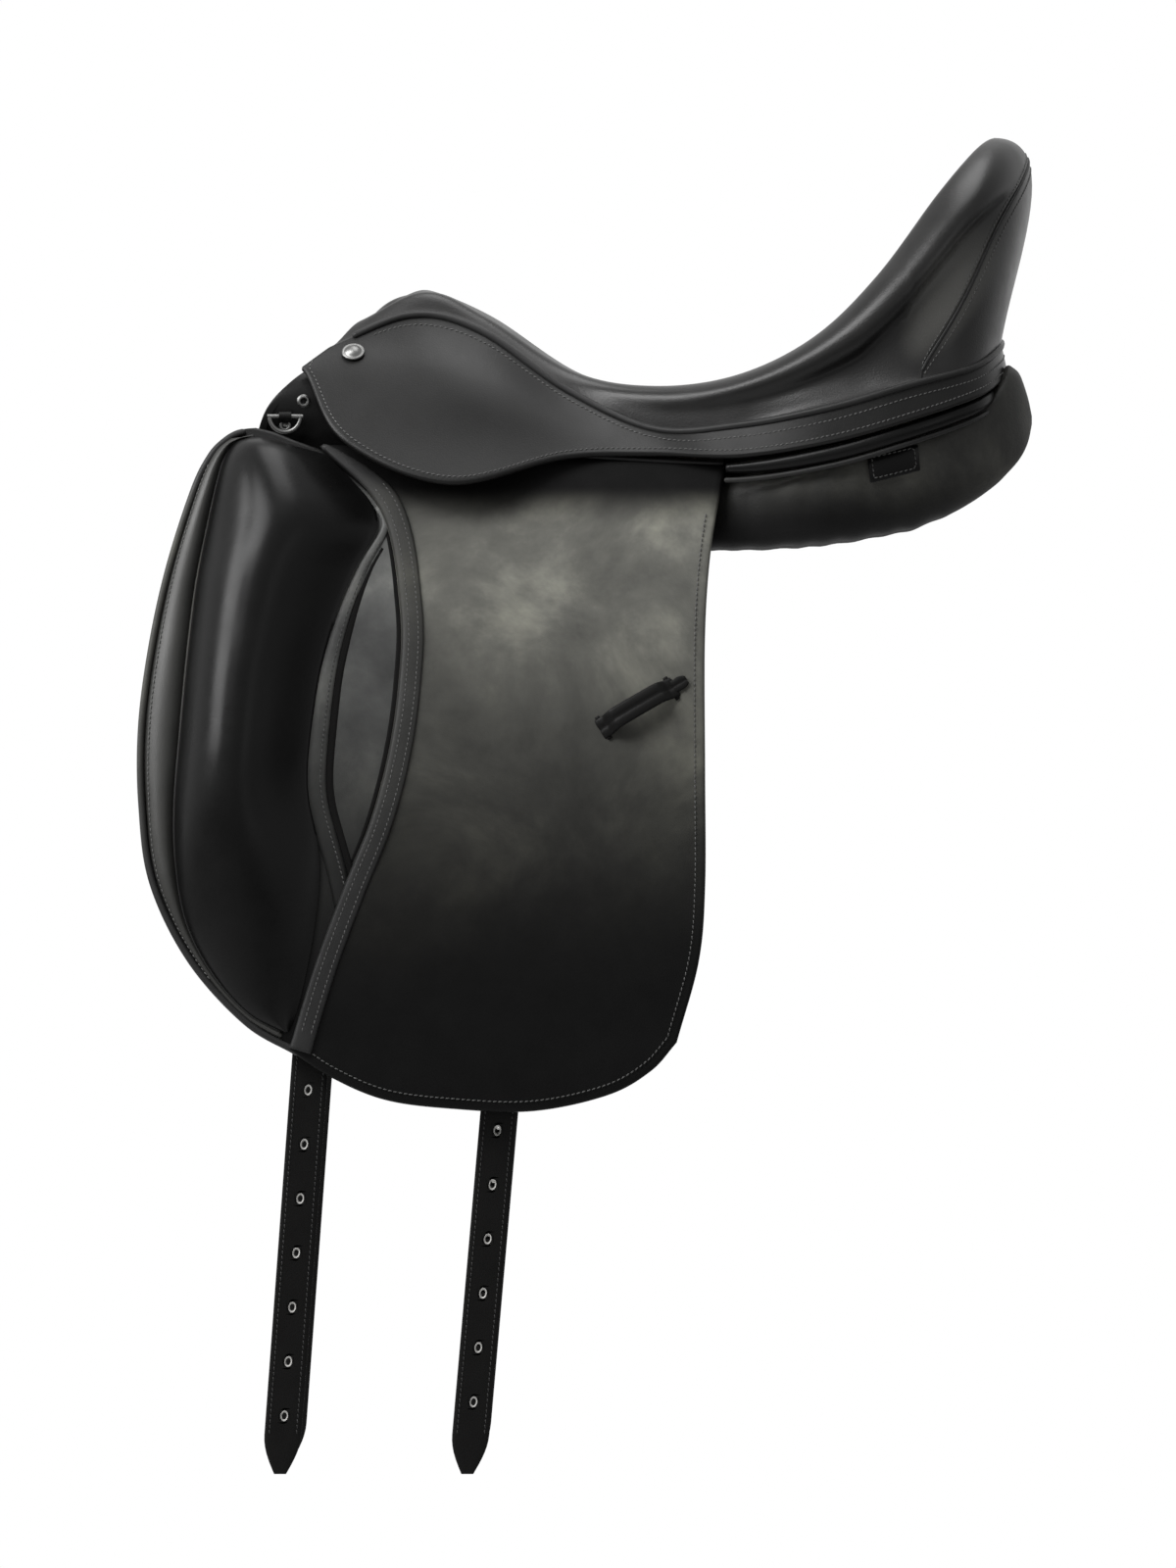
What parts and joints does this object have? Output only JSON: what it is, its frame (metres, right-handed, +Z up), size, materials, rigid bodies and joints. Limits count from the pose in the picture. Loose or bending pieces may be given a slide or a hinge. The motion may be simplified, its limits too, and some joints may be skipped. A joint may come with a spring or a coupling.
{
  "type": "dressage saddle",
  "caption": "Black leather dressage saddle: deep seat, hinged flaps with large front blocks, stirrup bars, dees and long punched girth straps on a sprung tree.",
  "frame": {"origin": "on the centre plane, under the lowest part of the seat's rim, level with the lowest line of the rear panels", "axes": "+X to the cantle (rear), +Y to the off (right) side, +Z up"},
  "size_m": [0.5791, 0.4146, 0.865],
  "materials": {
    "seat_leather": "soft black leather, low sheen",
    "flap_leather": "black bridle leather, worn sheen",
    "panel_leather": "soft black panel leather",
    "strap_leather": "black strap leather",
    "lining": "thin black leather",
    "steel": "nickel-plated steel",
    "spring_steel": "blued spring steel",
    "beech": "laminated beech",
    "foam": "latex foam",
    "web": "woven web"
  },
  "bodies": {
    "saddle": {"tree_frame": "beech", "tree_head": "beech", "head_plate": "spring_steel", "tree_springs": "spring_steel", "tree_rivets": "steel", "seat_webs": "web", "seat_foam": "foam", "seat_cover": "seat_leather", "cantle_facing": "seat_leather", "gullet_lining": "lining", "pommel_facing": "panel_leather", "skirt_studs": "steel", "bar_rivets": "steel", "catch_pins": "steel", "head_buttons": "steel", "panel_tabs": "panel_leather", "seat_welt": "seat_leather", "left_skirt": "flap_leather", "left_flap_top": "flap_leather", "left_sweat_flap": "lining", "left_panel": "panel_leather", "left_gusset": "panel_leather", "left_billet_webs": "web", "left_stirrup_bar": "steel", "left_dee_loop": "strap_leather", "right_skirt": "flap_leather", "right_flap_top": "flap_leather", "right_sweat_flap": "lining", "right_panel": "panel_leather", "right_gusset": "panel_leather", "right_billet_webs": "web", "right_stirrup_bar": "steel", "right_dee_loop": "strap_leather"},
    "left_lobe_body": {"left_skirt_lobe": "flap_leather"},
    "left_flap_body": {"left_flap": "flap_leather", "left_flap_base": "flap_leather", "left_block": "seat_leather", "left_flap_binding": "flap_leather", "left_keeper": "strap_leather", "left_keeper_strip": "strap_leather"},
    "left_front_billet_body": {"left_front_billet": "strap_leather"},
    "left_rear_billet_body": {"left_rear_billet": "strap_leather"},
    "left_catch_body": {"left_bar_catch": "steel"},
    "left_dee_body": {"left_dee": "steel"},
    "right_lobe_body": {"right_skirt_lobe": "flap_leather"},
    "right_flap_body": {"right_flap": "flap_leather", "right_flap_base": "flap_leather", "right_block": "seat_leather", "right_flap_binding": "flap_leather", "right_keeper": "strap_leather", "right_keeper_strip": "strap_leather"},
    "right_front_billet_body": {"right_front_billet": "strap_leather"},
    "right_rear_billet_body": {"right_rear_billet": "strap_leather"},
    "right_catch_body": {"right_bar_catch": "steel"},
    "right_dee_body": {"right_dee": "steel"}
  },
  "joints": [
    {"name": "left_flap_lift", "type": "hinge", "parent": "saddle", "child": "left_flap_body", "pos_m": [-0.0935, -0.10096, 0.059], "axis": [-0.9983, 0.0228, 0.054], "range_deg": [0, 25]},
    {"name": "left_skirt_lift", "type": "hinge", "parent": "saddle", "child": "left_lobe_body", "pos_m": [-0.131, -0.08561, 0.09466], "axis": [-0.9673, 0.1035, 0.2317], "range_deg": [0, 40]},
    {"name": "left_catch_turn", "type": "hinge", "parent": "saddle", "child": "left_catch_body", "pos_m": [-0.102, -0.07242, 0.07747], "axis": [0, 0.5736, 0.8192], "range_deg": [0, 90]},
    {"name": "left_dee_swing", "type": "hinge", "parent": "saddle", "child": "left_dee_body", "pos_m": [-0.247, -0.0834, 0.085], "axis": [-1, 0, 0], "range_deg": [0, 75]},
    {"name": "left_front_billet_swing", "type": "hinge", "parent": "saddle", "child": "left_front_billet_body", "pos_m": [-0.203, -0.09554, 0.034], "axis": [0, 1, 0], "range_deg": [-4, 4], "stiffness_Nm_per_rad": 0.5},
    {"name": "left_rear_billet_swing", "type": "hinge", "parent": "saddle", "child": "left_rear_billet_body", "pos_m": [-0.0735, -0.09554, 0.034], "axis": [0, 1, 0], "range_deg": [-4, 4], "stiffness_Nm_per_rad": 0.5},
    {"name": "right_flap_lift", "type": "hinge", "parent": "saddle", "child": "right_flap_body", "pos_m": [-0.0935, 0.10096, 0.059], "axis": [0.9983, 0.0228, -0.054], "range_deg": [0, 25]},
    {"name": "right_skirt_lift", "type": "hinge", "parent": "saddle", "child": "right_lobe_body", "pos_m": [-0.131, 0.08561, 0.09466], "axis": [0.9673, 0.1035, -0.2317], "range_deg": [0, 40]},
    {"name": "right_catch_turn", "type": "hinge", "parent": "saddle", "child": "right_catch_body", "pos_m": [-0.102, 0.07242, 0.07747], "axis": [0, 0.5736, -0.8192], "range_deg": [0, 90]},
    {"name": "right_dee_swing", "type": "hinge", "parent": "saddle", "child": "right_dee_body", "pos_m": [-0.247, 0.0834, 0.085], "axis": [1, 0, 0], "range_deg": [0, 75]},
    {"name": "right_front_billet_swing", "type": "hinge", "parent": "saddle", "child": "right_front_billet_body", "pos_m": [-0.203, 0.09554, 0.034], "axis": [0, 1, 0], "range_deg": [-4, 4], "stiffness_Nm_per_rad": 0.5},
    {"name": "right_rear_billet_swing", "type": "hinge", "parent": "saddle", "child": "right_rear_billet_body", "pos_m": [-0.0735, 0.09554, 0.034], "axis": [0, 1, 0], "range_deg": [-4, 4], "stiffness_Nm_per_rad": 0.5}
  ]
}
